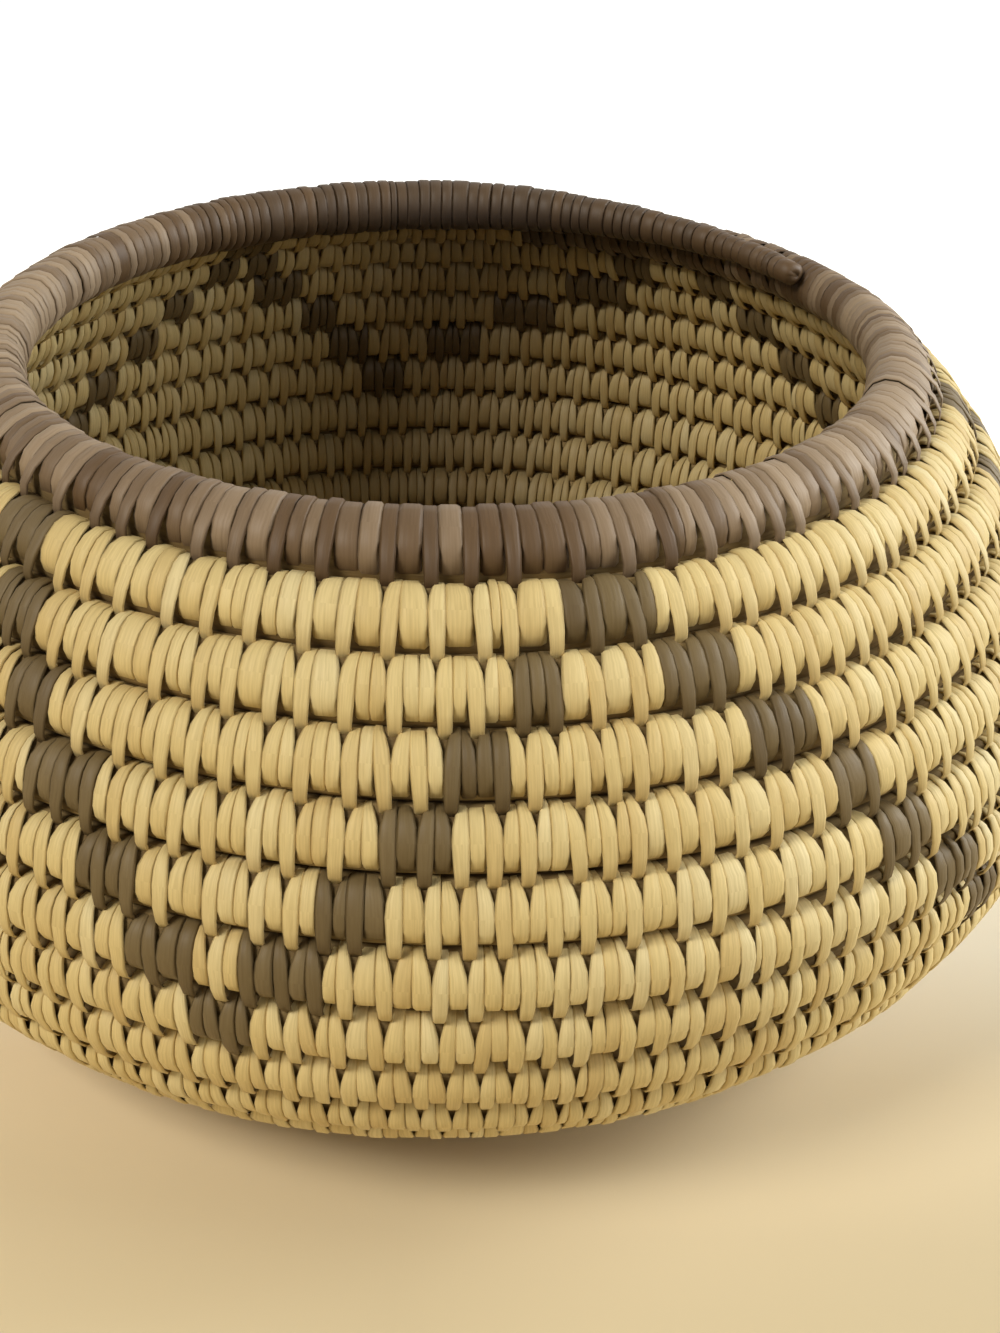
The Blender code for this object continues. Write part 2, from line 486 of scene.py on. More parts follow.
def ring_quads(bands: int, around: int, across: int) -> tuple[np.ndarray, np.ndarray, np.ndarray]:
    """Number the faces of closed bands whose points run around each band and across it, both ways closed.

    Args:
        bands: How many bands.
        around: Points around a band.
        across: Points across it.

    Returns:
        The faces, and the open (unwrapped) steps around and across of each face's four corners.
    """
    band, step, cut = np.meshgrid(np.arange(bands), np.arange(around), np.arange(across), indexing="ij")
    steps = np.stack((step, step, step + 1, step + 1), -1)
    cuts = np.stack((cut, cut + 1, cut + 1, cut), -1)
    faces = (band[..., None] * around + steps % around) * across + cuts % across
    return faces.reshape(-1, 4), steps.reshape(bands, -1), cuts.reshape(bands, -1)


def smooth_step(share: np.ndarray) -> np.ndarray:
    """Ease from 0 to 1, with a level start and end."""
    share = np.clip(share, 0.0, 1.0)
    return share * share * (3 - 2 * share)


@dataclass(frozen=True)
class WallOutline:
    """The coil's centre line in section: flat base, lower and upper belly, a short run past the mouth."""

    base_radius: float = 37.5 * MM
    belly_radius: float = 74.5 * MM
    belly_rise: float = 32.57 * MM
    mouth_radius: float = 50.8 * MM
    rim_rise: float = 68.77 * MM
    mouth_lean: float = math.radians(13)
    base_fullness: float = 0.20
    lower_fullness: float = 0.95
    upper_fullness: float = 0.28
    mouth_fullness: float = 0.54
    past_mouth: float = 7.3 * MM
    steps: int = 200

    def curve(self, corners: list[tuple[float, float]]) -> np.ndarray:
        """Draw a curve that leaves the first corner towards the second and reaches the last from the third.

        Args:
            corners: Radius and height of the four corners.

        Returns:
            Points along it: each corner weighed by (1-q)^3, 3(1-q)^2 q, 3(1-q)q^2, q^3 while q goes to 1.
        """
        q = np.linspace(0, 1, self.steps)[:, None]
        shares = ((1 - q) ** 3, 3 * (1 - q) ** 2 * q, 3 * (1 - q) * q**2, q**3)
        return sum(share * np.array(corner) for share, corner in zip(shares, corners))

    def points(self) -> np.ndarray:
        """Put the outline's runs together.

        Returns:
            Radius and height of its points, height above the centre line of the base.
        """
        base = np.stack((np.linspace(0, self.base_radius, self.steps), np.zeros(self.steps)), -1)
        flat_run = self.base_fullness * (self.belly_radius - self.base_radius)
        lower = self.curve([
            (self.base_radius, 0.0),
            (self.base_radius + flat_run, 0.0),
            (self.belly_radius, self.belly_rise * (1 - self.lower_fullness)),
            (self.belly_radius, self.belly_rise),
        ])
        lean = np.array((-math.cos(self.mouth_lean), math.sin(self.mouth_lean)))
        mouth = np.array((self.mouth_radius, self.rim_rise))
        upright = self.upper_fullness * (self.rim_rise - self.belly_rise)
        upper = self.curve([
            (self.belly_radius, self.belly_rise),
            (self.belly_radius, self.belly_rise + upright),
            tuple(mouth - self.mouth_fullness * (self.belly_radius - self.mouth_radius) * lean),
            tuple(mouth),
        ])
        return np.vstack((base, lower[1:], upper[1:], mouth + self.past_mouth * lean))


@dataclass
class CoilPath:
    """The coil's path from the plaited start to the tapered end of the rim.

    The solids' sewn rows have eight sides and stand on one of them, so the coil's centre lies
    cos(sleeve_corner) times half a row's width over the floor.
    """

    outline: WallOutline = field(default_factory=WallOutline)
    turns: float = 19.6
    row_gap: float = 0.3 * MM
    rim_width: float = 7.3 * MM
    rim_tip_width: float = 3.2 * MM
    knot_radius: float = 6.0 * MM
    end_azimuth: float = math.radians(30)
    swell_turn: float = 1 / 8
    taper_turn: float = 1 / 5
    sleeve_corner: float = math.radians(22.5)
    bulge: float = 0.95
    squeeze: float = 1.9 * MM
    side_push: float = 0.4 * MM
    push_back: float = 0.8 * MM
    back_rise: float = 0.4 * MM
    side_rise: float = 0.8 * MM

    def __post_init__(self) -> None:
        """Measure the outline and share its length among the turns."""
        self.points = self.outline.points()
        steps = np.diff(self.points, axis=0)
        self.lengths = np.concatenate(((0.0,), np.cumsum(np.hypot(steps[:, 0], steps[:, 1]))))
        middles = (self.lengths[:-1] + self.lengths[1:]) / 2
        slopes = np.unwrap(np.arctan2(steps[:, 1], steps[:, 0]))
        self.slopes = np.interp(self.lengths, middles, slopes)
        room = self.lengths[-2] - self.rim_width / 2 - self.knot_radius - self.row_gap
        self.pitch = room / self.turns
        self.row_width = self.pitch - self.row_gap
        self.base_height = self.row_width / 2 * math.cos(self.sleeve_corner)

    def half_width(self, turn: np.ndarray) -> np.ndarray:
        """Work out the sewn row's width: even, then wider on the rim, thinned out at the coil's end.

        Args:
            turn: Turns of the coil from its start.

        Returns:
            Half the width.
        """
        swell = smooth_step((turn - (self.turns - 1)) / self.swell_turn)
        taper = smooth_step((turn - (self.turns - self.taper_turn)) / self.taper_turn)
        wider = (self.rim_width - self.row_width) * swell
        return (self.row_width + wider - (self.rim_width - self.rim_tip_width) * taper) / 2

    def wall_length(self, turn: np.ndarray) -> np.ndarray:
        """Way along the wall's section from the middle of the base to the coil's centre."""
        start = self.knot_radius + self.row_gap
        return start + self.pitch * turn + self.half_width(turn)

    def radius(self, turn: np.ndarray) -> np.ndarray:
        """Distance of the coil's centre from the basket's axis."""
        return np.interp(self.wall_length(turn), self.lengths, self.points[:, 0])

    def azimuth(self, turn: np.ndarray) -> np.ndarray:
        """Angle of the coil round the basket's axis. It falls as the coil climbs."""
        return self.end_azimuth + 2 * math.pi * (self.turns - turn)

    def place(self, turn: np.ndarray, out: np.ndarray, up: np.ndarray, side: np.ndarray) -> np.ndarray:
        """Find points near the coil.

        The section point at wall length + up is carried out along the wall's normal, turned round the
        axis to the turn's azimuth and moved sideways by the share of its own radius. Above the belly
        the basket is out of round: with the azimuth a from the front, the radius changes by
        squeeze (cos(2a) - 1) + push_back (1 - cos(a)) - side_push sin(a), and the back and the right side
        stand a little higher.

        Args:
            turn: Turn of the coil that each point belongs to.
            out: Way out of the wall.
            up: Way up along the wall from the coil's centre.
            side: Way sideways at the coil's radius, towards growing azimuth.

        Returns:
            The points, with X, Y and Z last.
        """
        length = self.wall_length(turn) + up
        slope = np.interp(length, self.lengths, self.slopes)
        radius = np.interp(length, self.lengths, self.points[:, 0]) + out * np.sin(slope)
        height = self.base_height + np.interp(length, self.lengths, self.points[:, 1]) - out * np.cos(slope)
        azimuth = self.azimuth(turn)
        carried = side * radius / self.radius(turn)
        belly, rim = self.outline.belly_rise, self.outline.rim_rise
        fade = smooth_step((height - belly) / (rim - belly))
        front = azimuth + math.pi / 2
        oval = self.squeeze * (np.cos(2 * front) - 1) + self.push_back * (1 - np.cos(front))
        radius = radius + fade * (oval - self.side_push * np.sin(front))
        rise = self.back_rise * (1 - np.cos(front)) / 2 + self.side_rise * np.sin(front)
        height = np.maximum(height + fade * rise, 0.0)
        cosine, sine = np.cos(azimuth), np.sin(azimuth)
        return np.stack((radius * cosine - carried * sine, radius * sine + carried * cosine, height), -1)


@dataclass(frozen=True)
class ZigzagCorner:
    """A corner of the dark line: degrees from the front, row under the rim, half the block's width."""

    front_degrees: float
    row: float
    half_width: float


@dataclass(frozen=True)
class ZigzagBand:
    """The dark line that steps down and up six times round the body, a block of stitches in each row."""

    corners: tuple[ZigzagCorner, ...] = tuple(
        ZigzagCorner(degrees, row, half * MM)
        for degrees, row, half in (
            (-236.5, 6, 2.7), (-218.0, 2, 2.7), (-212.5, 1, 3.6), (-205.0, 2, 3.6),
            (-198.5, 3, 4.4), (-188.8, 4, 4.6), (-179.7, 5, 4.4), (-171.0, 6, 3.3),
            (-166.3, 5, 3.0), (-161.8, 4, 3.2), (-155.8, 3, 3.2), (-152.5, 2, 3.0),
            (-149.5, 1, 3.6), (-146.5, 2, 2.6), (-124.5, 7, 2.9), (-101.0, 2, 2.9),
            (-94.6, 1, 3.8), (-88.5, 2, 2.9), (-66.0, 7, 2.9), (-39.0, 1, 3.6),
            (-35.0, 2, 2.9), (-16.6, 6, 3.4), (-12.6, 7, 2.6), (-8.0, 6, 3.2),
            (1.2, 4, 3.2), (9.9, 2, 2.1), (16.0, 1, 4.4), (23.4, 2, 4.3),
            (29.3, 3, 3.4), (35.7, 4, 3.0), (39.6, 5, 3.0), (51.0, 7, 3.0),
            (77.5, 2, 2.9), (84.6, 1, 3.6), (91.0, 2, 2.7), (117.5, 6, 2.7),
        )
    )

    def holds(self, row: np.ndarray, front_degrees: np.ndarray, radius: np.ndarray) -> np.ndarray:
        """Tell which stitches are dark.

        Between two corners the block of a row stands where the straight line between the corners
        crosses that row. A stitch is dark when its middle lies within the block's half width.

        Args:
            row: Each stitch's row under the rim.
            front_degrees: Its azimuth from the front.
            radius: Its distance from the axis.

        Returns:
            True for the dark stitches.
        """
        dark = np.zeros(len(row), bool)
        for first, second in zip(self.corners[:-1], self.corners[1:]):
            share = (row - first.row) / (second.row - first.row)
            middle = first.front_degrees + share * (second.front_degrees - first.front_degrees)
            half = first.half_width + share * (second.half_width - first.half_width)
            near = np.abs(np.radians(front_degrees - middle)) * radius < half
            dark |= near & (share >= 0) & (share <= 1)
        return dark


@dataclass
class StitchPlan:
    """Where each stitch lies on the coil and which of them hook into the turn below.

    The hooked stitches stand over gaps between two stitches of the turn below, about every second
    gap. Short stitches fill the room between two hooked ones. The coil ends at end_degrees from the
    front. Each stitch's tone is drawn at random and follows slow waves along the coil, (pace, start).
    """

    path: CoilPath
    hook_spacing: float = 3.5 * MM
    rim_hook_spacing: float = 4.0 * MM
    spacing_spread: float = 0.45 * MM
    hook_width: float = 1.5 * MM
    hook_clear: float = 1.3
    short_width: float = 1.65 * MM
    short_spread: float = 0.09
    end_degrees: float = -240.0
    end_clear: float = 0.02
    rim_lead: float = 0.14
    # Painted light on the rim's tone: a sheen at the sides and shade at the back.
    rim_side_sheen: float = 0.7
    rim_back_shade: float = 0.45
    tone_spread: float = 0.17
    slow_tone: float = 0.06
    slow_waves: tuple[tuple[float, float], ...] = ((5.1, 0.0), (13.7, 1.0))
    lean: float = 0.02
    lean_spread: float = 0.022
    swell_spread: float = 0.02
    rise_spread: float = 0.03
    height_spread: float = 0.10
    most_spread: float = 2.0
    grain_spread: float = 40.0
    seed: int = 7
    zigzag: ZigzagBand = field(default_factory=ZigzagBand)

    def __post_init__(self) -> None:
        """Sew along the coil from its start to its end, then give each stitch its small differences."""
        random = np.random.default_rng(self.seed)
        path = self.path
        edges, hooked, notched = [0.0], [], set()
        last = 0.0
        while edges[-1] < path.turns:
            per_metre = 1 / (2 * math.pi * path.radius(last))
            rim = smooth_step((last - (path.turns - 1)) / path.swell_turn)
            spacing = self.hook_spacing + (self.rim_hook_spacing - self.hook_spacing) * rim
            centre = last + random.normal(spacing, self.spacing_spread) * per_metre
            if centre > 1:
                gap = bisect.bisect(edges, centre - 1)
                if centre - 1 - edges[gap - 1] < edges[gap] - centre + 1:
                    gap -= 1
                while edges[gap] + 1 < last + self.hook_clear * self.hook_width * per_metre:
                    gap += 1
                if centre < path.turns - self.end_clear:
                    notched.add(gap)
                centre = edges[gap] + 1
            hook = self.hook_width * per_metre
            room = centre - last - hook
            shorts = max(1, round(room / (self.short_width * per_metre)))
            stray = random.uniform(-self.short_spread, self.short_spread, shorts - 1)
            steps = np.arange(1, shorts + 1) + np.append(stray, 0.0)
            start = edges[-1]
            edges.extend(start + (centre - hook / 2 - start) * steps / shorts)
            edges.append(centre + hook / 2)
            hooked.extend([False] * shorts + [True])
            last = centre
        self.count = sum(edge < path.turns for edge in edges[1:])
        marks = np.array(edges[: self.count + 1])
        marks[-1] = path.turns
        self.hooked = np.array(hooked[: self.count])
        notches = np.isin(np.arange(self.count + 1), list(notched))
        self.notch_low, self.notch_high = notches[1:], notches[:-1]
        self.turn = (marks[:-1] + marks[1:]) / 2
        self.radius = path.radius(self.turn)
        self.width = np.diff(marks) * 2 * math.pi * self.radius
        down = path.turns - self.turn
        self.row = np.floor(down).astype(int)
        self.front_degrees = 360 * (down - self.row) + self.end_degrees
        dark = self.zigzag.holds(self.row, self.front_degrees, self.radius)
        self.dye = np.where(dark, Dye.ZIGZAG, Dye.PALE)
        self.dye[down < 1 + self.rim_lead] = Dye.RIM
        spread = random.normal(0, 1, (6, self.count))
        slow = sum(np.sin(self.turn * pace + start) for pace, start in self.slow_waves)
        self.tone = 0.5 + self.tone_spread * spread[0] + self.slow_tone * slow
        front = np.radians(self.front_degrees)
        # Painted light on the rim: lighter at the sides for a sheen, darker at the back for shade.
        painted_rim_light = self.rim_side_sheen * np.sin(front) ** 2 - self.rim_back_shade * (1 - np.cos(front)) / 2
        self.tone = np.clip(self.tone + painted_rim_light * (self.row == 0), 0, 1)
        self.leans = self.lean + self.lean_spread * spread[1]
        held = np.clip(spread[2:5], -self.most_spread, self.most_spread)
        self.swell = 1 + self.swell_spread * held[0]
        self.rise = 1 + self.rise_spread * held[1]
        self.height = 1 + self.height_spread * held[2]
        self.offset = self.grain_spread * np.abs(spread[5])


@dataclass
class Sewing:
    """The splint stitches over the whole coil, built from their plan."""

    path: CoilPath
    plan: StitchPlan
    crown: float = 0.52 * MM
    edge: float = 0.34 * MM
    # Painted shade along the splints' edges and towards the foot of each loop.
    edge_shade: float = 0.25
    foot_shade: float = 0.5
    foot_start: float = 0.5
    foot_run: float = 0.6
    tip_length: float = 0.6 * MM
    hook_depth: float = 0.95 * MM
    overlap: float = 0.15 * MM
    lift_off: float = 0.10 * MM
    hook_taper: float = 0.25
    notch: float = 0.75 * MM
    notch_power: float = 2.2
    short_power: float = 0.86
    hook_power: float = 0.74
    shoulder_share: float = 0.17
    inside_share: float = 0.6
    grain_skip: float = 3.0
    fill: float = 1.07
    # Painted shade on the inside of the wall: a little all round, most towards the back of the basket.
    side_shade: float = 0.15
    shade_middle: float = math.radians(180)
    shade_reach: float = math.radians(42)
    around: int = 16
    across: int = 4

    def loops(self, chosen: np.ndarray) -> tuple[np.ndarray, np.ndarray, np.ndarray, np.ndarray]:
        """Work out the closed loops of some stitches.

        In the plane of the section, a loop is a superellipse, out = a sign(cos) |cos|^e and
        up = b sign(sin) |sin|^e, with its own b above and below the coil's centre. A hooked loop has
        a long lower half. Across the splint, four points make its crown: two edges and two shoulders
        that stand off along the loop's normal. The sides draw in at the top beside a neighbour's hook.
        The coil's last stitch is closed over the tip: its free edge is drawn together in the middle.

        Args:
            chosen: Numbers of the stitches.

        Returns:
            Points by stitch, step and cut; the way round the loop; the shares of painted shade in the creases
            and at the foot, and of painted shade inside the basket.
        """
        plan = self.plan
        turn = plan.turn[chosen, None]
        hooked = plan.hooked[chosen, None]
        half = self.path.half_width(turn)
        angle = 2 * math.pi * np.arange(self.around) / self.around
        cosine, sine = np.cos(angle), np.sin(angle)
        lower = sine < 0
        power = np.where(lower & hooked, self.hook_power, self.short_power)
        thick = (half * self.path.bulge - self.crown) * plan.swell[chosen, None]
        top = (half + self.overlap - self.crown) * plan.rise[chosen, None]
        hook_foot = half + self.path.row_gap / 2 + self.hook_depth
        foot = np.where(hooked, hook_foot, half - self.crown - self.lift_off)
        out = thick * np.sign(cosine) * np.abs(cosine) ** power
        up = np.where(lower, foot, top) * np.sign(sine) * np.abs(sine) ** power
        out_run = np.roll(out, -1, 1) - np.roll(out, 1, 1)
        up_run = np.roll(up, -1, 1) - np.roll(up, 1, 1)
        run = np.hypot(out_run, up_run)
        drawn = np.clip(up / top, 0, 1) ** self.notch_power
        sinking = smooth_step(-up / (half + self.hook_depth))
        body = self.fill * plan.width[chosen, None] / 2 * (1 - self.hook_taper * hooked * sinking)
        low = body - self.notch * drawn * plan.notch_low[chosen, None]
        high = body - self.notch * drawn * plan.notch_high[chosen, None]
        middle = -plan.leans[chosen, None] * up
        shoulder = self.shoulder_share * (low + high)
        side = middle[..., None] + np.stack((-low, -low + shoulder, high - shoulder, high), -1)
        lift = self.edge + SHOULDERS * (self.crown * plan.height[chosen, None, None] - self.edge)
        tip = (chosen == plan.count - 1)[:, None, None] * END_EDGE
        points = self.path.place(
            turn[..., None],
            (1 - tip) * (out[..., None] + lift * (up_run / run)[..., None]),
            (1 - tip) * (up[..., None] - lift * (out_run / run)[..., None]),
            side - tip * self.tip_length,
        )
        steps = np.hypot(np.roll(out, -1, 1) - out, np.roll(up, -1, 1) - up)
        way = np.concatenate((np.zeros((len(chosen), 1)), np.cumsum(steps, 1)), 1)
        # Painted shade: darker along the splint's edges and towards the foot of the loop.
        foot_shade = self.foot_shade * smooth_step((-up / half - self.foot_start) / self.foot_run)
        groove_shade = self.edge_shade * EDGES * np.ones_like(side) + foot_shade[..., None]
        # Painted shade on the inside of the wall, deepest towards the back of the basket.
        away = np.radians(plan.front_degrees[chosen, None]) - self.shade_middle
        away = np.abs((away + math.pi) % (2 * math.pi) - math.pi)
        stain_and_shade = self.side_shade + (1 - self.side_shade) * smooth_step(1 - away / self.shade_reach)
        age = (stain_and_shade * smooth_step(0.5 - out / thick))[..., None] * np.ones_like(side)
        return points, way, groove_shade, age

    def surface(self, chosen: np.ndarray) -> Surface:
        """Put some stitches into one surface.

        Args:
            chosen: Numbers of the stitches.

        Returns:
            Their surface.
        """
        points, way, groove_shade, age = self.loops(chosen)
        quads, steps, cuts = ring_quads(len(chosen), self.around, self.across)
        shares = np.array((0.0, self.shoulder_share, 1 - self.shoulder_share, 1.0, 1 + self.inside_share))
        across = shares[cuts] * self.plan.width[chosen, None] / MM
        along = np.take_along_axis(way, steps, 1) / MM
        offset = self.plan.offset[chosen, None]
        uv = np.stack((across + offset, along + self.grain_skip * offset), -1)
        tone = np.repeat(self.plan.tone[chosen], self.around * self.across)
        return Surface(points.reshape(-1, 3), quads, uv.reshape(-1, 2), tone, groove_shade.ravel(), age.ravel())

    def dress(self) -> None:
        """Make the pieces: the pale and dark stitches of each turn, and the rim."""
        rim = RIM.material()
        finishes = (
            (Dye.PALE, "sewing", Slot.PALE, PALE.material()),
            (Dye.ZIGZAG, "zigzag", Slot.DARK, DARK.material()),
            (Dye.RIM, "rim_lead", Slot.DARK, rim),
        )
        plan = self.plan
        for row in range(plan.row.max(), 0, -1):
            number = f"{plan.row.max() + 1 - row:02d}"
            for dye, word, slot, material in finishes:
                chosen = np.flatnonzero((plan.row == row) & (plan.dye == dye))
                if len(chosen):
                    name = f"row_{number}_{word}"
                    self.surface(chosen).piece(name, material, slot, [f"stitch_row_{number}"])
        self.surface(np.flatnonzero(plan.row == 0)).piece("rim_sewing", rim, Slot.DARK, ["rim_wrap"])


@dataclass
class GrassCoil:
    """The bundle of dry grass stems that the stitches hold, in one unbroken spiral."""

    path: CoilPath
    inset: float = 0.70 * MM
    end_length: float = 1.6 * MM
    end_rings: int = 5
    end_share: float = 0.001
    rim_ease: float = 0.02
    press: float = 0.05 * MM
    stem_height: float = 0.10 * MM
    stems: int = 9
    around: int = 18
    samples_per_turn: int = 80
    twist: float = 0.9
    grain_step: float = 0.9

    def dress(self) -> None:
        """Make the bundle: an ellipse carried along the coil, with ridges that wind slowly round it.

        out = (a + ridge) cos(angle) and up = (b + ridge) sin(angle), where the ridge is
        stem_height cos(stems angle + 2 pi twist turn). Turns that lie on each other are pressed together,
        so that nothing shows between them. The rings at both ends are drawn together to a tiny one,
        which a strip of faces closes.
        """
        path, last = self.path, self.path.turns
        share = np.linspace(0.0, 1.0, self.end_rings + 1)
        bend = self.end_length / (2 * math.pi * path.radius(np.array((0.0, last))))
        turn = np.linspace(bend[0], last - bend[1], int(last * self.samples_per_turn))
        turn = np.concatenate((bend[0] * share[:-1], turn, last - bend[1] * share[-2::-1]))[:, None]
        count = len(turn)
        close = np.ones(count)
        close[: self.end_rings] = np.sqrt(1 - (1 - share[:-1]) ** 2)
        close[-self.end_rings :] = close[: self.end_rings][::-1]
        close = np.maximum(close, self.end_share)[:, None]
        angle = 2 * math.pi * np.arange(self.around) / self.around
        half = path.half_width(turn)
        ridge = self.stem_height * np.cos(self.stems * angle + 2 * math.pi * self.twist * turn)
        cosine, sine = np.cos(angle), np.sin(angle)
        pressed = half + path.row_gap / 2 + self.press
        topmost = smooth_step((turn - (last - 1 - self.rim_ease)) / self.rim_ease)
        top = pressed + (half - self.inset - pressed) * topmost
        out = close * (half * path.bulge - self.inset + ridge) * cosine
        up = close * (np.where(sine > 0, top, pressed) + ridge) * sine
        points = path.place(turn, out, up, np.zeros_like(out))
        rings = ring_quads(1, count, self.around)
        # The last ring isn't joined to the first.
        quads, steps, cuts = (part.reshape(-1, 4)[: -self.around] for part in rings)
        way = 2 * math.pi * path.radius(turn[:, 0]) * np.gradient(turn[:, 0])
        along = np.cumsum(way)[steps] / MM
        uv = np.stack((cuts * self.grain_step, along), -1).reshape(-1, 2)
        near = np.arange(self.around // 2 - 1)
        far = self.around - 1 - near
        cap = np.stack((far, far - 1, near + 1, near), -1)
        quads = np.vstack((quads, cap, cap[:, ::-1] + (count - 1) * self.around))
        uv = np.vstack((uv, np.zeros((2 * cap.size, 2))))
        # Painted shade in the hollows between the stems' ridges.
        groove_shade = np.clip(0.5 - ridge / self.stem_height / 2, 0, 1)
        tone = np.full(groove_shade.size, 0.5)
        surface = Surface(points.reshape(-1, 3), quads, uv, tone, groove_shade.ravel(), np.zeros(groove_shade.size))
        surface.piece("grass_coil", GrassFinish().material(), Slot.GRASS, ["grass_bundle"])


@dataclass
class PlaitedStart:
    """The plaited start in the middle of the base: flat loops of splint woven over and under each other."""

    path: CoilPath
    strands: int = 13
    strand_pitch: float = 1.9 * MM
    strand_width: float = 1.8 * MM
    tuck: float = 0.25 * MM
    corner: float = 0.45 * MM
    shortest: float = 2.6 * MM
    search_mm: float = 14.0
    search_steps: int = 561
    crown: float = 0.42 * MM
    edge: float = 0.12 * MM
    shoulder: float = 0.22
    weave: float = 0.24 * MM
    end_power: float = 0.55
    face_power: float = 0.3
    weave_power: float = 0.5
    # Painted shade along the strands' edges.
    edge_shade: float = 0.6
    darkest: float = 0.35
    tone_step: float = 0.08
    tones: int = 5
    tone_skips: tuple[int, int] = (3, 2)
    grain_step: float = 0.5
    grain_skips: tuple[float, float] = (9.0, 31.0)
    around: int = 44

    def ends(self, offset: float, crosswise: bool) -> tuple[float, float]:
        """Find where a strand ends: both ways at the inner edge of the first turn.

        That edge winds outwards, radius = knot radius + gap + tuck + pitch times the share of the turn.

        Args:
            offset: Distance of the strand's middle line from the basket's axis.
            crosswise: Whether it runs along Y.

        Returns:
            Its two ends along its middle line.
        """
        line = np.linspace(-self.search_mm, self.search_mm, self.search_steps) * MM
        along, aside = np.meshgrid(line, offset + np.array((-self.corner, 0.0, self.corner)), indexing="ij")
        x, y = (aside, along) if crosswise else (along, aside)
        share = (self.path.azimuth(0.0) - np.arctan2(y, x)) / (2 * math.pi) % 1
        room = self.path.knot_radius + self.path.row_gap + self.tuck + self.path.pitch * share
        inside = (np.hypot(x, y) < room).all(1).astype(int)
        runs = np.flatnonzero(np.diff(inside, prepend=0, append=0)).reshape(-1, 2)
        if not len(runs):
            return 0.0, 0.0
        first, last = runs[np.argmax(runs[:, 1] - runs[:, 0])]
        return float(line[first]), float(line[last - 1])

    def strand(self, number: int, crosswise: bool) -> Surface | None:
        """Work out one strand as a closed loop.

        Seen from its side the loop is a superellipse, along = r cos^end_power and
        height = h sin^face_power. It rises and sinks by weave cos(pi phase) over and under its crossings,
        where the phase grows by 1 from one crossing to the next and from one strand to the next.

        Args:
            number: Place of the strand in its set, from 0.
            crosswise: Whether it belongs to the second set, square to the first.

        Returns:
            The strand's surface, or nothing where the room is too short for one.
        """
        offset = (number - (self.strands - 1) / 2) * self.strand_pitch
        first, last = self.ends(offset, crosswise)
        if last - first < self.shortest:
            return None
        reach = (last - first) / 2 - (self.crown if crosswise else 0)
        angle = 2 * math.pi * np.arange(self.around) / self.around
        cosine, sine = np.cos(angle), np.sin(angle)
        along = (first + last) / 2 + reach * np.sign(cosine) * np.abs(cosine) ** self.end_power
        phase = along / self.strand_pitch + (self.strands - 1) / 2 + number + crosswise
        over = self.weave * np.cos(math.pi * phase) * np.abs(sine) ** self.weave_power
        half_height = self.path.base_height - self.crown - self.weave
        height = np.sign(sine) * (half_height * np.abs(sine) ** self.face_power + over)
        along_run = np.roll(along, -1) - np.roll(along, 1)
        height_run = np.roll(height, -1) - np.roll(height, 1)
        run = np.hypot(along_run, height_run)
        lift = SHOULDERS * (self.crown - self.edge) + self.edge
        cut = np.array((-0.5, -self.shoulder, self.shoulder, 0.5)) * self.strand_width
        run_x = along[:, None] + lift * (height_run / run)[:, None]
        run_z = height[:, None] - lift * (along_run / run)[:, None]
        side = offset + cut * np.ones_like(run_x)
        z = np.maximum(self.path.base_height + run_z, 0.0)
        points = np.stack((side, run_x, z), -1) if crosswise else np.stack((run_x, side[:, ::-1], z), -1)
        quads, steps, cuts = ring_quads(1, self.around, 4)
        way = np.concatenate(((0.0,), np.cumsum(run / 2)))
        across = cuts[0] * self.grain_step + self.grain_skips[0] * number
        uv = np.stack((across, way[steps[0]] / MM + self.grain_skips[1] * crosswise), -1)
        uv = uv.reshape(-1, 4, 2)[:, ::-1].reshape(-1, 2)
        # Painted shade along the strands' edges.
        groove_shade = self.edge_shade * EDGES * np.ones_like(run_x)
        shade = (number * self.tone_skips[0] + crosswise * self.tone_skips[1]) % self.tones
        tone = np.full(run_x.size, self.darkest + self.tone_step * shade)
        # Painted shade inside the basket, on the strands' upper faces.
        age = np.broadcast_to(sine[:, None] > 0, run_x.shape).ravel().astype(float)
        return Surface(points.reshape(-1, 3), quads[:, ::-1], uv, tone, groove_shade.ravel(), age)

    def dress(self) -> None:
        """Make the plait from its two sets of strands."""
        numbers = range(self.strands)
        strands = [self.strand(number, crosswise) for crosswise in (False, True) for number in numbers]
        strands = [strand for strand in strands if strand]
        Surface.join(strands).piece("plaited_start", PLAIT.material(), Slot.PLAIT, ["start_knot"])


@dataclass(frozen=True)
class Lamp:
    """A soft square lamp that faces the basket: its place and side in metres, its power in watts."""

    name: str
    place: tuple[float, float, float]
    side: float
    power: float
    tint: tuple[float, float, float]


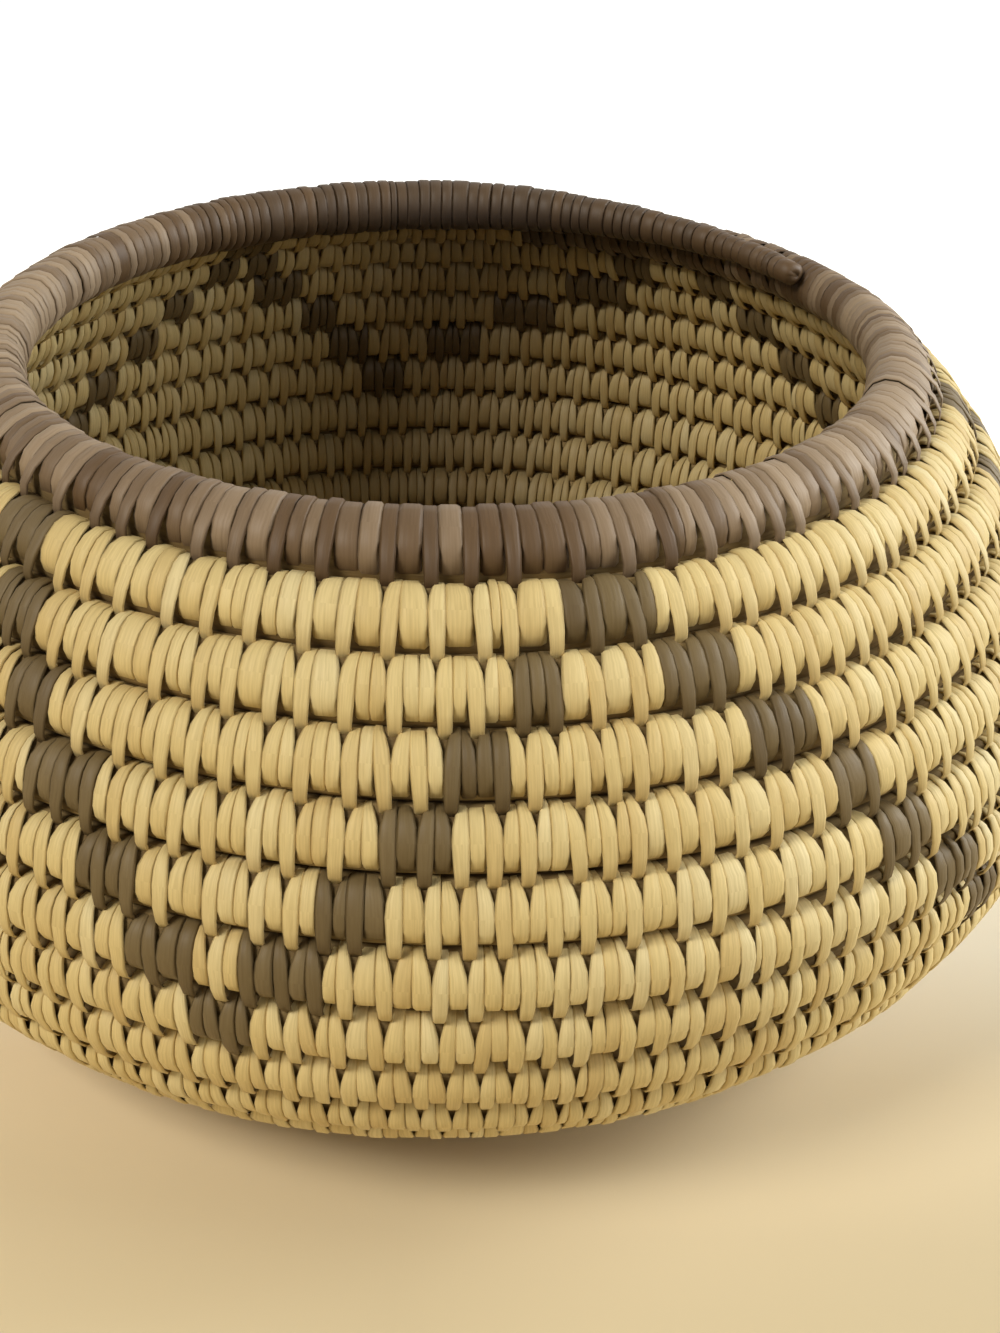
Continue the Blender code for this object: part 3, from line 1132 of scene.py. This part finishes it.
@dataclass
class Studio:
    """Floor, lamps and the camera at the photograph's viewing angle."""

    aim: tuple[float, float, float] = (8.1 * MM, 0.0, 27.3 * MM)
    distance: float = 241.1 * MM
    look_down: float = math.radians(29.16)
    roll: float = 0.0348
    lens: float = 50.92
    sensor: float = 36.0
    clip_start: float = 0.01
    sky: float = 0.07
    floor_size: float = 4.0
    floor_drop: float = 0.05 * MM
    lamp_aim: tuple[float, float, float] = (0.0, 0.0, 0.04)
    lamps: tuple[Lamp, ...] = (
        Lamp("key", (-0.55, -0.50, 0.75), 0.35, 7.2, (1.0, 0.96, 0.88)),
        Lamp("right", (0.85, -0.10, 0.65), 0.5, 3.9, (0.97, 0.99, 1.0)),
        Lamp("back", (0.90, 0.35, 0.40), 0.5, 7.6, (0.94, 0.98, 1.0)),
        Lamp("front", (0.75, -0.65, 0.45), 0.5, 1.9, (1.0, 1.0, 0.98)),
    )

    def camera(self) -> None:
        """Set the camera: it looks along +Y and down, at its aim, with a slight roll."""
        data = bpy.data.cameras.new("camera")
        data.sensor_width = self.sensor
        data.lens = self.lens
        data.clip_start = self.clip_start
        eye = bpy.data.objects.new("camera", data)
        look = Vector((0.0, math.cos(self.look_down), -math.sin(self.look_down)))
        turn = Matrix.Rotation(math.pi / 2 - self.look_down, 4, "X") @ Matrix.Rotation(self.roll, 4, "Z")
        eye.matrix_world = Matrix.Translation(Vector(self.aim) - self.distance * look) @ turn
        bpy.context.scene.collection.objects.link(eye)
        bpy.context.scene.camera = eye

    def floor(self) -> None:
        """Lay the sheet that the basket stands on."""
        half = self.floor_size / 2
        mesh = bpy.data.meshes.new("floor")
        low = -self.floor_drop
        corners = [(-half, -half, low), (half, -half, low), (half, half, low), (-half, half, low)]
        mesh.from_pydata(corners, [], [(0, 1, 2, 3)])
        mesh.materials.append(PaperFinish().material())
        sheet = bpy.data.objects.new("floor", mesh)
        bpy.context.scene.collection.objects.link(sheet)
        sheet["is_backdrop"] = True

    def sky_light(self) -> None:
        """Light the scene evenly from all round, and show white behind the floor."""
        world = bpy.data.worlds.new("sky")
        world.use_nodes = True
        nodes, links = world.node_tree.nodes, world.node_tree.links
        path = nodes.new("ShaderNodeLightPath")
        seen = nodes.new("ShaderNodeMath")
        seen.operation = "MAXIMUM"
        links.new(path.outputs["Is Camera Ray"], seen.inputs[0])
        links.new(path.outputs["Is Glossy Ray"], seen.inputs[1])
        strength = nodes.new("ShaderNodeMapRange")
        strength.inputs[3].default_value = self.sky
        strength.inputs[4].default_value = 1.0
        links.new(seen.outputs[0], strength.inputs[0])
        links.new(strength.outputs[0], nodes["Background"].inputs["Strength"])
        nodes["Background"].inputs["Color"].default_value = WHITE
        bpy.context.scene.world = world

    def hang(self, lamp: Lamp) -> None:
        """Hang a lamp and turn it to the basket.

        Args:
            lamp: Its place, size, power and colour.
        """
        data = bpy.data.lights.new(lamp.name, "AREA")
        data.size = lamp.side
        data.energy = lamp.power
        data.color = lamp.tint
        thing = bpy.data.objects.new(lamp.name, data)
        facing = (Vector(self.lamp_aim) - Vector(lamp.place)).to_track_quat("-Z", "Y")
        thing.matrix_world = Matrix.Translation(lamp.place) @ facing.to_matrix().to_4x4()
        bpy.context.scene.collection.objects.link(thing)

    def build(self) -> None:
        """Build the whole studio."""
        bpy.context.scene.view_settings.view_transform = "Standard"
        self.camera()
        self.floor()
        self.sky_light()
        for lamp in self.lamps:
            self.hang(lamp)


def write_sizes() -> None:
    """Measure the dressed model's box and log its size. The CAD model's box is gathered beside it but not
    stored.
    """
    boxes = {"cad": CAD_BOX, "visual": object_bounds()}
    low, high = boxes["visual"]
    log.info("dressed box %s mm", " x ".join(f"{side / MM:.1f}" for side in high - low))


def main() -> None:
    """Build the studio and the basket's pieces in order."""
    logging.basicConfig(level=logging.INFO, format="%(name)s: %(message)s")
    Studio().build()
    path = CoilPath()
    PlaitedStart(path).dress()
    GrassCoil(path).dress()
    plan = StitchPlan(path)
    log.info("%d stitches, %d of them hooked", plan.count, plan.hooked.sum())
    Sewing(path, plan).dress()
    write_sizes()


if __name__ == "__main__":
    main()
